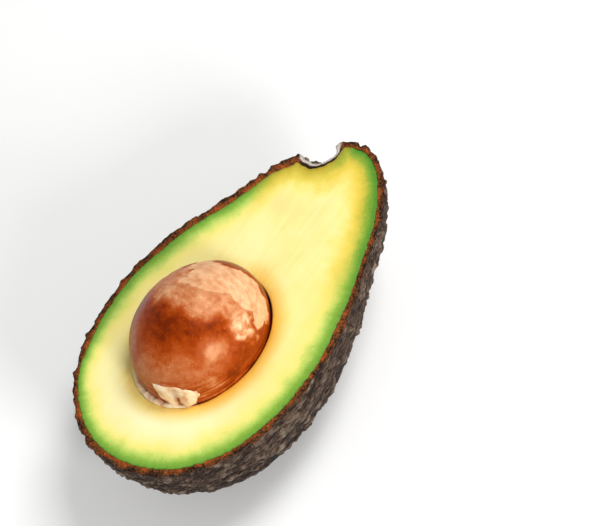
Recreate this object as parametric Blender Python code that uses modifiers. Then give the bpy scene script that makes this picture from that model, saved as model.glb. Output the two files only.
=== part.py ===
"""Half an avocado with its stone still in it, lying on its rounded back with the cut face up.

Metres, +Z up. The stem end points along +Y and the blossom end along -Y. The origin is under the middle
of the fruit, on the surface that it rests on.

The fruit is a pear shape with the stem's hollow at the left of its stem end, cut lengthwise just above its
axis. Four pieces come apart on a bench: the pebbled skin, the flesh, the papery seed coat that lines the
flesh's cavity, and the stone.
"""

import math

import bmesh
import bpy
from mathutils import Matrix, Vector

# The whole fruit.
FRUIT_LENGTH = 0.105
MIDDLE_HALF_WIDTH = 0.0318
TAPER = 0.0077          # the blossom end is this much fuller than the middle, the stem end slimmer
WAIST_DEPTH = 0.0018    # the neck draws in slightly, most at WAIST_ALONG of the way to the stem end
WAIST_ALONG = 0.45
WAIST_REACH = 0.26
NECK_LEAN = 0.0011      # how far the neck leans sideways, away from the stem's hollow
DEPTH_SHARE = 1.00      # depth of the back over half the width, at mid-length
DEPTH_TO_STEM = -0.10   # how that share changes towards the stem end
AXIS_BELOW_CUT = 0.0006
FLAT_SPOT_DEPTH = 0.0010

# The hollow that the stem sat in.
HOLLOW_CENTRE = Vector((-0.0105, 0.0465, 0.0))
HOLLOW_OUTWARD = Vector((-0.70, 0.71, 0.0)).normalized()
HOLLOW_RADIUS = 0.0072
HOLLOW_DEPTH = 0.0052

# The layers under the surface.
SKIN_THICKNESS = 0.0014
GAP = 0.0003            # clearance between two pieces that touch
SEED_COAT_THICKNESS = 0.0004

# The stone, an egg with its long axis along the fruit.
STONE_LENGTH = 0.0392
STONE_WIDTH = 0.0332
STONE_TAPER = 0.05
STONE_X = -0.0010
STONE_Y = -0.0127
STONE_ABOVE_CUT = 0.0025

# The seed coat's torn edge stands above the cut at the blossom end and sinks below it at the stem end.
COAT_EDGE_HEIGHT = -0.0010
COAT_EDGE_TILT = math.radians(6)

FRUIT_SEGMENTS, FRUIT_RINGS = 48, 38
RINGS_TO_STEM = 0.3     # how much closer together the rings lie at the stem end
STONE_SEGMENTS, STONE_RINGS = 28, 18


def half_width(along):
    """Half the fruit's width, where along runs from -1 at the blossom end to 1 at the stem end."""
    waist = WAIST_DEPTH * math.exp(-(((along - WAIST_ALONG) / WAIST_REACH) ** 2))
    return math.sqrt(1 - along * along) * (MIDDLE_HALF_WIDTH - TAPER * along - waist)


def back_depth(along):
    """How far the back reaches below the fruit's axis there."""
    return half_width(along) * (DEPTH_SHARE + DEPTH_TO_STEM * along)


def lean(along):
    """How far the middle line has moved sideways there: none up to the middle, all of it past the waist."""
    share = max(0.0, min(1.0, along / 0.65))
    return NECK_LEAN * share * share * (3 - 2 * share)


def deepest_back(steps=400):
    return max(back_depth(-1 + 2 * step / steps) for step in range(steps + 1))


CUT_HEIGHT = AXIS_BELOW_CUT + deepest_back() - FLAT_SPOT_DEPTH


def fruit_point(direction):
    """The point of the uncut fruit's surface that this point of a unit sphere becomes, axis at z 0."""
    from_stem = math.acos(max(-1.0, min(1.0, direction.y)))
    along = math.cos(from_stem - RINGS_TO_STEM * math.sin(from_stem))
    across = math.hypot(direction.x, direction.z) or 1.0
    side, up = direction.x / across, direction.z / across
    width = half_width(along)
    point = Vector((
        width * side + lean(along),
        FRUIT_LENGTH / 2 * along,
        back_depth(along) * up,
    ))
    # The hollow pushes the surface in along the old stem's line, most at its middle.
    offset = point - HOLLOW_CENTRE
    outward = offset.dot(HOLLOW_OUTWARD)
    from_line = (offset - outward * HOLLOW_OUTWARD).length
    if from_line < HOLLOW_RADIUS and outward > -HOLLOW_RADIUS:
        push = HOLLOW_DEPTH * (1 - (from_line / HOLLOW_RADIUS) ** 3) ** 2
        point -= push * HOLLOW_OUTWARD
    return point


def stone_point(direction):
    """The same for the stone, about its own centre."""
    narrowing = 1 - STONE_TAPER * direction.y
    half = STONE_WIDTH / 2 * narrowing
    return Vector((half * direction.x, STONE_LENGTH / 2 * direction.y, half * direction.z))


def shaped_sphere(name, collection, shape, segments, rings, centre, grow=0.0):
    """A sphere with its poles on the Y axis, its points moved by shape, then grown along its normals."""
    mesh = bpy.data.meshes.new(name)
    bm = bmesh.new()
    # Half a segment of turn keeps the rows of points off the cutting plane.
    turn = Matrix.Rotation(math.pi / segments, 4, "Y") @ Matrix.Rotation(-math.pi / 2, 4, "X")
    bmesh.ops.create_uvsphere(bm, u_segments=segments, v_segments=rings, radius=1.0, matrix=turn)
    for vert in bm.verts:
        vert.co = shape(vert.co)
    bmesh.ops.recalc_face_normals(bm, faces=bm.faces)
    bm.normal_update()
    grown = [(vert, vert.co + grow * vert.normal) for vert in bm.verts]
    for vert, place in grown:
        vert.co = place
    bm.to_mesh(mesh)
    bm.free()
    mesh.shade_smooth()
    obj = bpy.data.objects.new(name, mesh)
    obj.location = centre
    collection.objects.link(obj)
    return obj


def box_cutter(name, size, centre, tilt=0.0):
    """A box that only cuts other pieces, turned by tilt about X."""
    mesh = bpy.data.meshes.new(name)
    bm = bmesh.new()
    bmesh.ops.create_cube(bm, size=1.0)
    bmesh.ops.scale(bm, vec=size, verts=bm.verts)
    bm.to_mesh(mesh)
    bm.free()
    obj = bpy.data.objects.new(name, mesh)
    obj.location = centre
    obj.rotation_euler.x = tilt
    cutters.objects.link(obj)
    return obj


def cut(obj, *tools):
    for tool in tools:
        modifier = obj.modifiers.new("cut_" + tool.name, "BOOLEAN")
        modifier.operation = "DIFFERENCE"
        modifier.object = tool
        tool.hide_render = True
        tool.display_type = "WIRE"


def solidify(obj, thickness, outwards):
    modifier = obj.modifiers.new("wall", "SOLIDIFY")
    modifier.thickness = thickness
    modifier.offset = 1.0 if outwards else -1.0
    modifier.use_even_offset = True


def material(name, colour, roughness):
    made = bpy.data.materials.new(name)
    made.use_nodes = True
    shader = made.node_tree.nodes["Principled BSDF"]
    shader.inputs["Base Color"].default_value = (*colour, 1.0)
    shader.inputs["Roughness"].default_value = roughness
    shader.inputs["Metallic"].default_value = 0.0
    return made


for old in list(bpy.data.objects):
    bpy.data.objects.remove(old)
avocado = bpy.data.collections.new("avocado_half")
cutters = bpy.data.collections.new("cutters")
bpy.context.scene.collection.children.link(avocado)
bpy.context.scene.collection.children.link(cutters)

fruit_centre = Vector((0.0, 0.0, CUT_HEIGHT - AXIS_BELOW_CUT))
stone_centre = Vector((STONE_X, STONE_Y, CUT_HEIGHT + STONE_ABOVE_CUT))
cutter_side = 2 * FRUIT_LENGTH

# Everything above the knife's plane, and everything below the surface that the fruit rests on.
knife = box_cutter("knife", (cutter_side,) * 3, (0.0, 0.0, CUT_HEIGHT + cutter_side / 2))
table = box_cutter("table", (cutter_side,) * 3, (0.0, 0.0, -cutter_side / 2))

# The skin: a leathery pebbled peel of even thickness.
skin = shaped_sphere("skin", avocado, fruit_point, FRUIT_SEGMENTS, FRUIT_RINGS, fruit_centre)
solidify(skin, SKIN_THICKNESS, outwards=False)
cut(skin, knife, table)
skin.data.materials.append(material("skin", (0.045, 0.033, 0.027), 0.55))

# The flesh: buttery, solid from the skin to the cavity that the stone fills.
flesh = shaped_sphere(
    "flesh", avocado, fruit_point, FRUIT_SEGMENTS, FRUIT_RINGS, fruit_centre, -(SKIN_THICKNESS + GAP)
)
cavity_grow = GAP + SEED_COAT_THICKNESS + GAP
cavity = shaped_sphere(
    "cavity", cutters, stone_point, STONE_SEGMENTS, STONE_RINGS, stone_centre, cavity_grow
)
cut(flesh, knife, cavity)
flesh.data.materials.append(material("flesh", (0.90, 0.80, 0.25), 0.45))

# The seed coat: a papery cup between the flesh and the stone.
seed_coat = shaped_sphere(
    "seed_coat", avocado, stone_point, STONE_SEGMENTS, STONE_RINGS, stone_centre, GAP
)
solidify(seed_coat, SEED_COAT_THICKNESS, outwards=True)
coat_up = Matrix.Rotation(-COAT_EDGE_TILT, 3, "X") @ Vector((0.0, 0.0, 1.0))
coat_trim = box_cutter(
    "coat_trim",
    (cutter_side,) * 3,
    Vector((STONE_X, STONE_Y, CUT_HEIGHT + COAT_EDGE_HEIGHT)) + coat_up * cutter_side / 2,
    -COAT_EDGE_TILT,
)
cut(seed_coat, coat_trim)
seed_coat.data.materials.append(material("seed_coat", (0.55, 0.30, 0.15), 0.6))

# The stone: one smooth seed, a little over half of it standing out of the flesh.
stone = shaped_sphere("stone", avocado, stone_point, STONE_SEGMENTS, STONE_RINGS, stone_centre)
stone.data.materials.append(material("stone", (0.35, 0.12, 0.04), 0.35))
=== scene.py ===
"""The looks of a halved avocado with its stone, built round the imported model."""
import math

import bmesh
import bpy
import numpy as np
from mathutils import Matrix, Vector, kdtree, noise


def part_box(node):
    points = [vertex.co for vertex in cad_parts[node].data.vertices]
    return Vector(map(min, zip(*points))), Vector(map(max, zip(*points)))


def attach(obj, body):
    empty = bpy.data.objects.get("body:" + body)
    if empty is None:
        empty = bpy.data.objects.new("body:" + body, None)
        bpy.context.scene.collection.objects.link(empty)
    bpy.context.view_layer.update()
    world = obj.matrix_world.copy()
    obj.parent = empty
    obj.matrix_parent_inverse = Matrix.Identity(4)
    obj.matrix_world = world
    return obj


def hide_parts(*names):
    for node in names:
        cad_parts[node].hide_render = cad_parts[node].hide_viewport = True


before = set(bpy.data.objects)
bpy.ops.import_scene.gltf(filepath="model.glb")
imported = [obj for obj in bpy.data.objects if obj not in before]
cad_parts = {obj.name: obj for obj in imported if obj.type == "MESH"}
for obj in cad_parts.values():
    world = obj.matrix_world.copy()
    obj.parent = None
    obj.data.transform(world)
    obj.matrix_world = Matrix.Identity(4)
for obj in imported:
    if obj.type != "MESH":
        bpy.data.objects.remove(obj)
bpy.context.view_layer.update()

# ---------------------------------------------------------------- skin
# The peel of a ripe black avocado: a leathery rind about a millimetre and a half thick, set all over with
# low corky pebbles. It grew on the flesh. The knife went through it with the fruit, so its cut edge shows
# all round as a crumbly rust-brown line.

MM = 0.001
SKIN_LOW, SKIN_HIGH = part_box("skin")
CUT_HEIGHT = SKIN_HIGH.z
HALF_LENGTH = (SKIN_HIGH.y - SKIN_LOW.y) / 2
MIDDLE_HALF_WIDTH = 31.8 * MM
TAPER = 7.7 * MM
WAIST_DEPTH, WAIST_ALONG, WAIST_REACH = 1.8 * MM, 0.45, 0.26
NECK_LEAN, LEAN_DONE = 1.1 * MM, 0.65
DEPTH_SHARE, DEPTH_TO_STEM = 1.018, -0.10
HOLLOW_CENTRE = np.array([-9.8, 47.2, 0.0]) * MM + np.array([0.0, 0.0, CUT_HEIGHT])
HOLLOW_OUTWARD = np.array([-0.701, 0.713, 0.0])
HOLLOW_RADIUS, HOLLOW_DEPTH = 6.3 * MM, 5.2 * MM
PEEL_THICKNESS = 1.75 * MM

PEBBLE_SIZE, PEBBLE_HEIGHT = 2.4 * MM, 0.90 * MM
WRINKLE_SIZE, WRINKLE_HEIGHT = 1.2 * MM, 0.25 * MM
SWELL_SIZE, SWELL_HEIGHT = 6.0 * MM, 1.6 * MM
GROOVE_DEPTH = 0.55 * PEBBLE_HEIGHT
CRUMB_SIZE, CRUMB_HEIGHT = 0.8 * MM, 0.30 * MM

SKIN_RINGS, BACK_STEPS, EDGE_STEPS, WALL_STEPS = 384, 220, 7, 6


def half_width(along):
    """Half the fruit's width, where along runs from -1 at the blossom end to 1 at the stem end."""
    waist = WAIST_DEPTH * np.exp(-(((along - WAIST_ALONG) / WAIST_REACH) ** 2))
    return np.sqrt(np.clip(1 - along * along, 0, 1)) * (MIDDLE_HALF_WIDTH - TAPER * along - waist)


def back_depth(along):
    """How far the back reaches below the cut there."""
    return half_width(along) * (DEPTH_SHARE + DEPTH_TO_STEM * along)


def lean(along):
    """How far the neck's middle line has moved sideways there."""
    share = np.clip(along / LEAN_DONE, 0, 1)
    return NECK_LEAN * share * share * (3 - 2 * share)


def hollow_push(points, radius=HOLLOW_RADIUS):
    """How far the stem's hollow moves each point inwards."""
    offset = points - HOLLOW_CENTRE
    outward = offset @ HOLLOW_OUTWARD
    from_line = np.linalg.norm(offset - outward[..., None] * HOLLOW_OUTWARD, axis=-1)
    push = HOLLOW_DEPTH * np.clip(1 - (from_line / radius) ** 3, 0, 1) ** 2
    return np.where(outward > -2 * radius, push, 0.0)


def fruit_surface(from_stem, around):
    """Points of the smooth fruit: from_stem runs from 0 at the stem end to pi, around from 0 at the right
    of the cut face, under the back, to pi at its left."""
    along = np.cos(from_stem)
    points = np.stack([
        lean(along) + half_width(along) * np.cos(around),
        HALF_LENGTH * along,
        CUT_HEIGHT - back_depth(along) * np.sin(around),
    ], axis=-1)
    return points - hollow_push(points)[..., None] * HOLLOW_OUTWARD


def fruit_normals(from_stem, around, step=0.004):
    """The directions straight out of the smooth fruit, found from points a small step apart."""
    middle = np.clip(from_stem, 2 * step, math.pi - 2 * step)
    down = fruit_surface(middle + step, around) - fruit_surface(middle - step, around)
    round_it = fruit_surface(middle, around + step) - fruit_surface(middle, around - step)
    normals = np.cross(down, round_it)
    normals /= np.linalg.norm(normals, axis=-1, keepdims=True)
    normals[np.sin(from_stem) < 1e-6] = 0
    normals[..., 1] = np.where(np.sin(from_stem) < 1e-6, np.sign(np.cos(from_stem)), normals[..., 1])
    return normals


def evenly_from_stem(count):
    """Angles from the stem that put the same length of outline between each two rings."""
    fine = np.linspace(0, math.pi, 4001)
    outline = np.stack([half_width(np.cos(fine)), HALF_LENGTH * np.cos(fine)])
    run = np.concatenate([[0], np.cumsum(np.hypot(*np.diff(outline)))])
    return np.interp(np.linspace(0, run[-1], count), run, fine)


def rough(points, size, seed=0.0, octaves=3):
    """Smooth random values from -1 to 1 that change over a distance of size."""
    flat = points.reshape(-1, 3) / size + seed
    values = [noise.fractal(Vector(p), 1.0, 2.0, octaves) for p in flat]
    return np.clip(np.array(values), -1, 1).reshape(points.shape[:-1])


def in_scene(name, data):
    """A new object at the origin of the scene that holds the data."""
    made = bpy.data.objects.new(name, data)
    bpy.context.scene.collection.objects.link(made)
    return made


def store(mesh, **attributes):
    """Keeps a number, or a direction, for each point of the mesh under each name."""
    for key, values in attributes.items():
        kind, part = ("FLOAT_VECTOR", "vector") if values.ndim == 2 else ("FLOAT", "value")
        layer = mesh.attributes.new(key, kind, "POINT")
        layer.data.foreach_set(part, values.astype(np.float32).ravel())


def mesh_object(name, points, faces, **attributes):
    """A closed mesh from points and faces, its doubles merged and its faces pointing out."""
    mesh = bpy.data.meshes.new(name)
    mesh.from_pydata(points.tolist(), [], faces.tolist())
    store(mesh, **attributes)
    bm = bmesh.new()
    bm.from_mesh(mesh)
    bmesh.ops.remove_doubles(bm, verts=bm.verts, dist=2e-6)
    bmesh.ops.recalc_face_normals(bm, faces=bm.faces)
    if bm.calc_volume(signed=True) < 0:
        bmesh.ops.reverse_faces(bm, faces=bm.faces)
    bm.to_mesh(mesh)
    bm.free()
    mesh.shade_smooth()
    return in_scene(name, mesh)


def ring_faces(rings, per_ring, closed=True):
    """Four-sided faces between each ring of points and the next."""
    ring = np.arange(rings - 1)[:, None] * per_ring
    step = np.arange(per_ring if closed else per_ring - 1)[None]
    after = (step + 1) % per_ring
    quads = np.stack([ring + step, ring + after, ring + per_ring + after, ring + per_ring + step], -1)
    return quads.reshape(-1, 4)


def linear(colour):
    """An sRGB hex colour as the linear values that a shader takes."""
    parts = [int(colour[i:i + 2], 16) / 255 for i in (1, 3, 5)]
    return [p / 12.92 if p <= 0.04045 else ((p + 0.055) / 1.055) ** 2.4 for p in parts] + [1.0]


def add(tree, kind, inputs=None, stops=None, **settings):
    """Adds a node: settings are its properties, inputs its sockets' values or what they link from, and
    stops a ramp's places and colours."""
    made = tree.nodes.new(kind)
    for key, value in settings.items():
        setattr(made, key, value)
    for key, value in (inputs or {}).items():
        if isinstance(value, bpy.types.Node):
            value = value.outputs[0]
        if isinstance(value, bpy.types.NodeSocket):
            tree.links.new(value, made.inputs[key])
        else:
            made.inputs[key].default_value = value
    for index, (place, colour) in enumerate(stops or ()):
        ramp = made.color_ramp.elements
        stop = ramp[index] if index < 2 else ramp.new(place)
        stop.position = place
        stop.color = linear(colour) if isinstance(colour, str) else (colour, colour, colour, 1)
    return made


def new_material(name, same_all_over):
    """A new material, its node tree and its shader, which is given what is the same all over."""
    made = bpy.data.materials.new(name)
    made.use_nodes = True
    shader = made.node_tree.nodes["Principled BSDF"]
    for socket, value in same_all_over.items():
        shader.inputs[socket].default_value = value
    return made, made.node_tree, shader


# Each ring runs round the back, over the cut edge, back along the inner wall and over the other edge.
from_stem = evenly_from_stem(SKIN_RINGS)
back = np.linspace(0, math.pi, BACK_STEPS + 1)
wall = np.linspace(math.pi, 0, WALL_STEPS + 1)
edge = np.linspace(0, 1, EDGE_STEPS + 1)[1:-1]
grid_stem, grid_back = np.meshgrid(from_stem, back, indexing="ij")
outer, outer_normals = fruit_surface(grid_stem, grid_back), fruit_normals(grid_stem, grid_back)
outer_normals[:, 0, 2] = 0
outer_normals[:, -1, 2] = 0
grid_stem, grid_wall = np.meshgrid(from_stem, wall, indexing="ij")
inner_normals = fruit_normals(grid_stem, grid_wall)
inner_normals[:, 0, 2] = 0
inner_normals[:, -1, 2] = 0
inner = fruit_surface(grid_stem, grid_wall)
# The peel is thicker here and there, thin in the stem's hollow, and ragged where the knife crossed its
# inner side. The flesh's outline follows the same points.
RAGGED_SIZE, RAGGED_DEPTH = 1.1 * MM, 0.30 * MM
HOLLOW_THINNER, THINNER_REACH = 0.35, 1.3 * HOLLOW_RADIUS
THICKER_SIZE, THICKER = 13 * MM, 0.55 * MM
LEFT_THICKER, LEFT_MIDDLE, LEFT_REACH = 0.55 * MM, 22 * MM, 18 * MM
LIP_THICKER, LIP_MIDDLE, LIP_REACH = 0.8 * MM, 40.5 * MM, 2.6 * MM
for column in range(WALL_STEPS + 1):
    thickness = PEEL_THICKNESS + THICKER * rough(inner[:, column], THICKER_SIZE, seed=7.3, octaves=1)
    thickness *= 1 - HOLLOW_THINNER * hollow_push(inner[:, column], THINNER_REACH) / HOLLOW_DEPTH
    # The left side's share fades out at both ends of the fruit, where all the columns meet in one point.
    left_share = max(0.0, -math.cos(wall[column])) ** 4 * np.clip(3 * np.sin(from_stem), 0, 1)
    place_along = inner[:, column, 1]
    thickness += left_share * LEFT_THICKER * np.exp(-(((place_along - LEFT_MIDDLE) / LEFT_REACH) ** 2))
    thickness += left_share * LIP_THICKER * np.exp(-(((place_along - LIP_MIDDLE) / LIP_REACH) ** 2))
    if column in (0, WALL_STEPS):
        thickness += RAGGED_DEPTH * rough(inner[:, column], RAGGED_SIZE, seed=2.9)
    inner[:, column] -= thickness[:, None] * inner_normals[:, column]


def distance_to(points, line):
    """How far each point is from the nearest point of a line of points."""
    tree_of = kdtree.KDTree(len(line))
    for index, point in enumerate(line):
        tree_of.insert(point, index)
    tree_of.balance()
    return np.array([tree_of.find(p)[2] for p in points.reshape(-1, 3)]).reshape(points.shape[:-1])


# At sharp corners the inner side would cross itself, so those points are laid between their neighbours.
CLEAR_SHARE = 0.9
order = np.arange(SKIN_RINGS)
for column, outside in ((0, outer[:, -1]), (WALL_STEPS, outer[:, 0])):
    gap = distance_to(inner[:, column], outside)
    meant = np.linalg.norm(inner[:, column] - outside, axis=1)
    clear = gap > CLEAR_SHARE * meant
    for axis in range(3):
        inner[:, column, axis] = np.interp(order, order[clear], inner[clear, column, axis])
outline_right, outline_left = inner[:, -1].copy(), inner[:, 0].copy()
normals_right, normals_left = inner_normals[:, -1].copy(), inner_normals[:, 0].copy()

# Below the cut the knife chipped the outer side here and there, where the rust brown shows as well.
CHIP_SIZE, CHIP_DEPTH, CHIP_REACH = 3.2 * MM, 0.45 * MM, 0.9 * MM
CHIP_OFTENER = 0.15
RUST_SPILL, RUST_SPILL_REACH = 0.55, 0.35 * MM
EDGE_DROP = 0.25 * MM
under_cut = CUT_HEIGHT - outer[..., 2]
near_cut = under_cut < 5 * CHIP_REACH
chipped = np.zeros(outer.shape[:2])
chipped[near_cut] = rough(outer[near_cut], CHIP_SIZE, seed=9.4, octaves=2) + CHIP_OFTENER
chipped = np.clip(chipped, 0, 1) * np.exp(-under_cut / CHIP_REACH)
outer = outer - CHIP_DEPTH * chipped[..., None] * outer_normals


def cut_edge(start, end, start_normals, forwards):
    """The points across one cut edge, crumbled up and down by the knife, with how far each follows the
    rind outwards and how far across the edge it is."""
    share = edge if forwards else 1 - edge
    points = start[:, None] + (end - start)[:, None] * share[None, :, None]
    bell = np.sin(math.pi * share) ** 0.5
    points[..., 2] += CRUMB_HEIGHT * bell * rough(points, CRUMB_SIZE, seed=3.1)
    points[..., 2] -= EDGE_DROP * (1 - share) ** 3
    push = start_normals[:, None] * (1 - share)[None, :, None]
    return points, push, np.broadcast_to(share, points.shape[:2])


left_points, left_push, left_share = cut_edge(outer[:, -1], inner[:, 0], outer_normals[:, -1], True)
right_points, right_push, right_share = cut_edge(outer[:, 0], inner[:, -1], outer_normals[:, 0], False)
skin_points = np.concatenate([outer, left_points, inner, right_points], axis=1)
skin_push = np.concatenate([outer_normals, left_push, np.zeros_like(inner), right_push], axis=1)
across = np.concatenate(
    [np.zeros(outer.shape[:2]), left_share, np.ones(inner.shape[:2]), right_share], axis=1
)
rusty = np.concatenate(
    [chipped + RUST_SPILL * np.exp(-under_cut / RUST_SPILL_REACH), np.ones(left_points.shape[:2]),
     np.ones(inner.shape[:2]), np.ones(right_points.shape[:2])], axis=1
)
in_hollow = hollow_push(skin_points + hollow_push(skin_points)[..., None] * HOLLOW_OUTWARD) / HOLLOW_DEPTH
per_ring = skin_points.shape[1]
skin = mesh_object(
    "peel", skin_points.reshape(-1, 3), ring_faces(SKIN_RINGS, per_ring),
    outward=skin_push.reshape(-1, 3), across=across.ravel(), in_hollow=in_hollow.ravel(),
    rusty=rusty.ravel(),
)

# Leathery rind of a ripe black avocado, coloured by height: grey-brown tops and near-black grooves, partly
# its own colour, partly painted sheen on the tops and painted shade in the grooves.
rind, tree, shader = new_material("ripe_black_avocado_rind", {"IOR": 1.45, "Specular IOR Level": 0.25})
coords = add(tree, "ShaderNodeTexCoord").outputs["Object"]
relief = add(tree, "ShaderNodeAttribute", attribute_name="relief").outputs["Fac"]
mottle = add(tree, "ShaderNodeTexNoise", {"Vector": coords, "Scale": 1 / (10 * MM), "Detail": 3.0})
grain = add(tree, "ShaderNodeTexNoise", {"Vector": coords, "Scale": 1 / (0.5 * MM), "Detail": 4.0})
streak_place = add(tree, "ShaderNodeMapping", {"Vector": coords, "Scale": (1.0, 0.22, 1.0)})
streaks = add(tree, "ShaderNodeTexNoise", {
    "Vector": streak_place, "Scale": 1 / (0.55 * MM), "Detail": 4.0, "Distortion": 0.8,
})
corky = add(tree, "ShaderNodeMapRange", {
    "Value": streaks.outputs["Fac"], "From Min": 0.35, "From Max": 0.65, "To Min": -0.30, "To Max": 0.30,
})
height = add(tree, "ShaderNodeMath", {0: relief, 1: corky.outputs["Result"]}, operation="ADD")
# Towards the side it lies on, the rind is painted darker: painted shade near the table.
height_up = add(tree, "ShaderNodeSeparateXYZ", {"Vector": coords}).outputs["Z"]
painted_low_shade = add(tree, "ShaderNodeMapRange", {
    "Value": height_up, "From Min": 8 * MM, "From Max": 27 * MM, "To Min": -0.34, "To Max": 0.0,
}, interpolation_type="SMOOTHSTEP")
height = add(tree, "ShaderNodeMath", {0: height, 1: painted_low_shade.outputs["Result"]}, operation="ADD")
# The dark low end of this ramp is partly painted shade in the grooves; its pale high end is partly painted
# sheen on the tops.
rind_colour = add(tree, "ShaderNodeValToRGB", {"Fac": height}, stops=[
    (0.02, "#1d1009"), (1.0, "#8a7c6c"), (0.25, "#3d2b1e"), (0.5, "#584738"), (0.75, "#6f6154"),
])
tint = add(tree, "ShaderNodeValToRGB", {"Fac": mottle.outputs["Fac"]}, stops=[
    (0.35, "#a8805e"), (0.65, "#efece6"),
])
rind_colour = add(tree, "ShaderNodeMix", {
    "Factor": 0.6, "A": rind_colour.outputs["Color"], "B": tint.outputs["Color"],
}, data_type="RGBA", blend_type="MULTIPLY")
# The scar that the stem left at the bottom of its hollow is bare brown cork.
in_hollow_here = add(tree, "ShaderNodeAttribute", attribute_name="in_hollow").outputs["Fac"]
scar_share = add(tree, "ShaderNodeMapRange", {
    "Value": in_hollow_here, "From Min": 0.25, "From Max": 0.75, "To Min": 0.0, "To Max": 0.8,
})
scar_colour = add(tree, "ShaderNodeValToRGB", {"Fac": grain.outputs["Fac"]}, stops=[
    (0.35, "#4a3524"), (0.65, "#a08264"),
])
rind_colour = add(tree, "ShaderNodeMix", {
    "Factor": scar_share.outputs["Result"], "A": rind_colour.outputs[2], "B": scar_colour.outputs["Color"],
}, data_type="RGBA")
# The cut edge: rust-brown stone cells, crumbly, darkest in their pits and along the outer side.
share_across = add(tree, "ShaderNodeAttribute", attribute_name="across").outputs["Fac"]
crumbs = add(tree, "ShaderNodeTexNoise", {
    "Vector": coords, "Scale": 1 / (0.6 * MM), "Detail": 3.0, "Roughness": 0.75,
})
rust = add(tree, "ShaderNodeMapRange", {
    "Value": share_across, "From Min": 0.0, "From Max": 1.0, "To Min": -0.08, "To Max": 0.07,
})
rust = add(tree, "ShaderNodeMath", {0: crumbs.outputs["Fac"], 1: rust.outputs["Result"]}, operation="ADD")
clumps = add(tree, "ShaderNodeTexNoise", {"Vector": coords, "Scale": 1 / (2.6 * MM), "Detail": 2.0})
clumps = add(tree, "ShaderNodeMapRange", {
    "Value": clumps.outputs["Fac"], "From Min": 0.35, "From Max": 0.65, "To Min": -0.07, "To Max": 0.13,
})
rust = add(tree, "ShaderNodeMath", {0: rust, 1: clumps.outputs["Result"]}, operation="ADD")
cut_colour = add(tree, "ShaderNodeValToRGB", {"Fac": rust}, stops=[
    (0.30, "#170b05"), (0.80, "#d06a38"), (0.41, "#3f2412"), (0.50, "#68401f"), (0.59, "#8a4a20"),
    (0.68, "#b0511c"),
])
# Round the stem's hollow the cut edge is painted with a pale line outside and a dark one inside.
hollow_share = add(tree, "ShaderNodeMapRange", {
    "Value": in_hollow_here, "From Min": 0.04, "From Max": 0.16,
})
hollow_edge_lines = add(tree, "ShaderNodeValToRGB", {"Fac": share_across}, stops=[
    (0.0, "#b9aea4"), (1.0, "#2a1c14"), (0.3, "#efe7df"), (0.48, "#cdbdac"), (0.6, "#3c2b21"),
])
cut_colour = add(tree, "ShaderNodeMix", {
    "Factor": hollow_share.outputs["Result"], "A": cut_colour.outputs["Color"],
    "B": hollow_edge_lines.outputs["Color"],
}, data_type="RGBA")
rusty_share = add(tree, "ShaderNodeAttribute", attribute_name="rusty").outputs["Fac"]
fray = add(tree, "ShaderNodeMath", {
    0: crumbs.outputs["Fac"], 1: 0.7, 2: rusty_share,
}, operation="MULTIPLY_ADD")
on_cut = add(tree, "ShaderNodeMapRange", {"Value": fray, "From Min": 0.62, "From Max": 0.82})
rind_mix = add(tree, "ShaderNodeMix", {
    "Factor": on_cut.outputs["Result"], "A": rind_colour.outputs[2], "B": cut_colour.outputs[2],
}, data_type="RGBA")
tree.links.new(rind_mix.outputs[2], shader.inputs["Base Color"])
gloss = add(tree, "ShaderNodeMapRange", {
    "Value": height, "From Min": 0.0, "From Max": 1.0, "To Min": 0.75, "To Max": 0.46,
})
dull = add(tree, "ShaderNodeMath", {
    0: gloss.outputs["Result"], 1: on_cut.outputs["Result"],
}, operation="MAXIMUM")
tree.links.new(dull.outputs[0], shader.inputs["Roughness"])
fine = add(tree, "ShaderNodeMath", {0: grain.outputs["Fac"], 1: streaks.outputs["Fac"]}, operation="ADD")
crumbly = add(tree, "ShaderNodeMath", {0: on_cut.outputs["Result"], 1: 2.5}, operation="MULTIPLY")
fine = add(tree, "ShaderNodeMath", {0: crumbs.outputs["Fac"], 1: crumbly, 2: fine}, operation="MULTIPLY_ADD")
bump = add(tree, "ShaderNodeBump", {"Height": fine, "Strength": 0.9, "Distance": 0.35 * MM})
tree.links.new(bump.outputs["Normal"], shader.inputs["Normal"])

# The pebbles: low domes packed side by side, on longer swells, all standing out along the rind's normal.
pebbles = bpy.data.node_groups.new("rind_pebbles", "GeometryNodeTree")
face_in = pebbles.interface
face_in.new_socket("Geometry", in_out="INPUT", socket_type="NodeSocketGeometry")
face_in.new_socket("Geometry", in_out="OUTPUT", socket_type="NodeSocketGeometry")
peel_sizes = {
    "Pebble size": PEBBLE_SIZE, "Pebble height": PEBBLE_HEIGHT,
    "Wrinkle size": WRINKLE_SIZE, "Wrinkle height": WRINKLE_HEIGHT,
    "Swell size": SWELL_SIZE, "Swell height": SWELL_HEIGHT, "Seed": 4.0,
}
peel_sockets = {
    key: face_in.new_socket(key, in_out="INPUT", socket_type="NodeSocketFloat") for key in peel_sizes
}
given = add(pebbles, "NodeGroupInput")


def over_size(vector, size):
    """The vector in units of one of the group's sizes, moved on by the group's seed."""
    per_size = add(pebbles, "ShaderNodeMath", {0: 1.0, 1: given.outputs[size]}, operation="DIVIDE")
    scaled = add(pebbles, "ShaderNodeVectorMath", {
        0: vector, "Scale": per_size.outputs[0],
    }, operation="SCALE")
    return add(pebbles, "ShaderNodeVectorMath", {0: scaled, 1: seed_shift}, operation="ADD")


place = add(pebbles, "GeometryNodeInputPosition")
seed_shift = add(pebbles, "ShaderNodeCombineXYZ", {"X": given.outputs["Seed"]})
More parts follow.
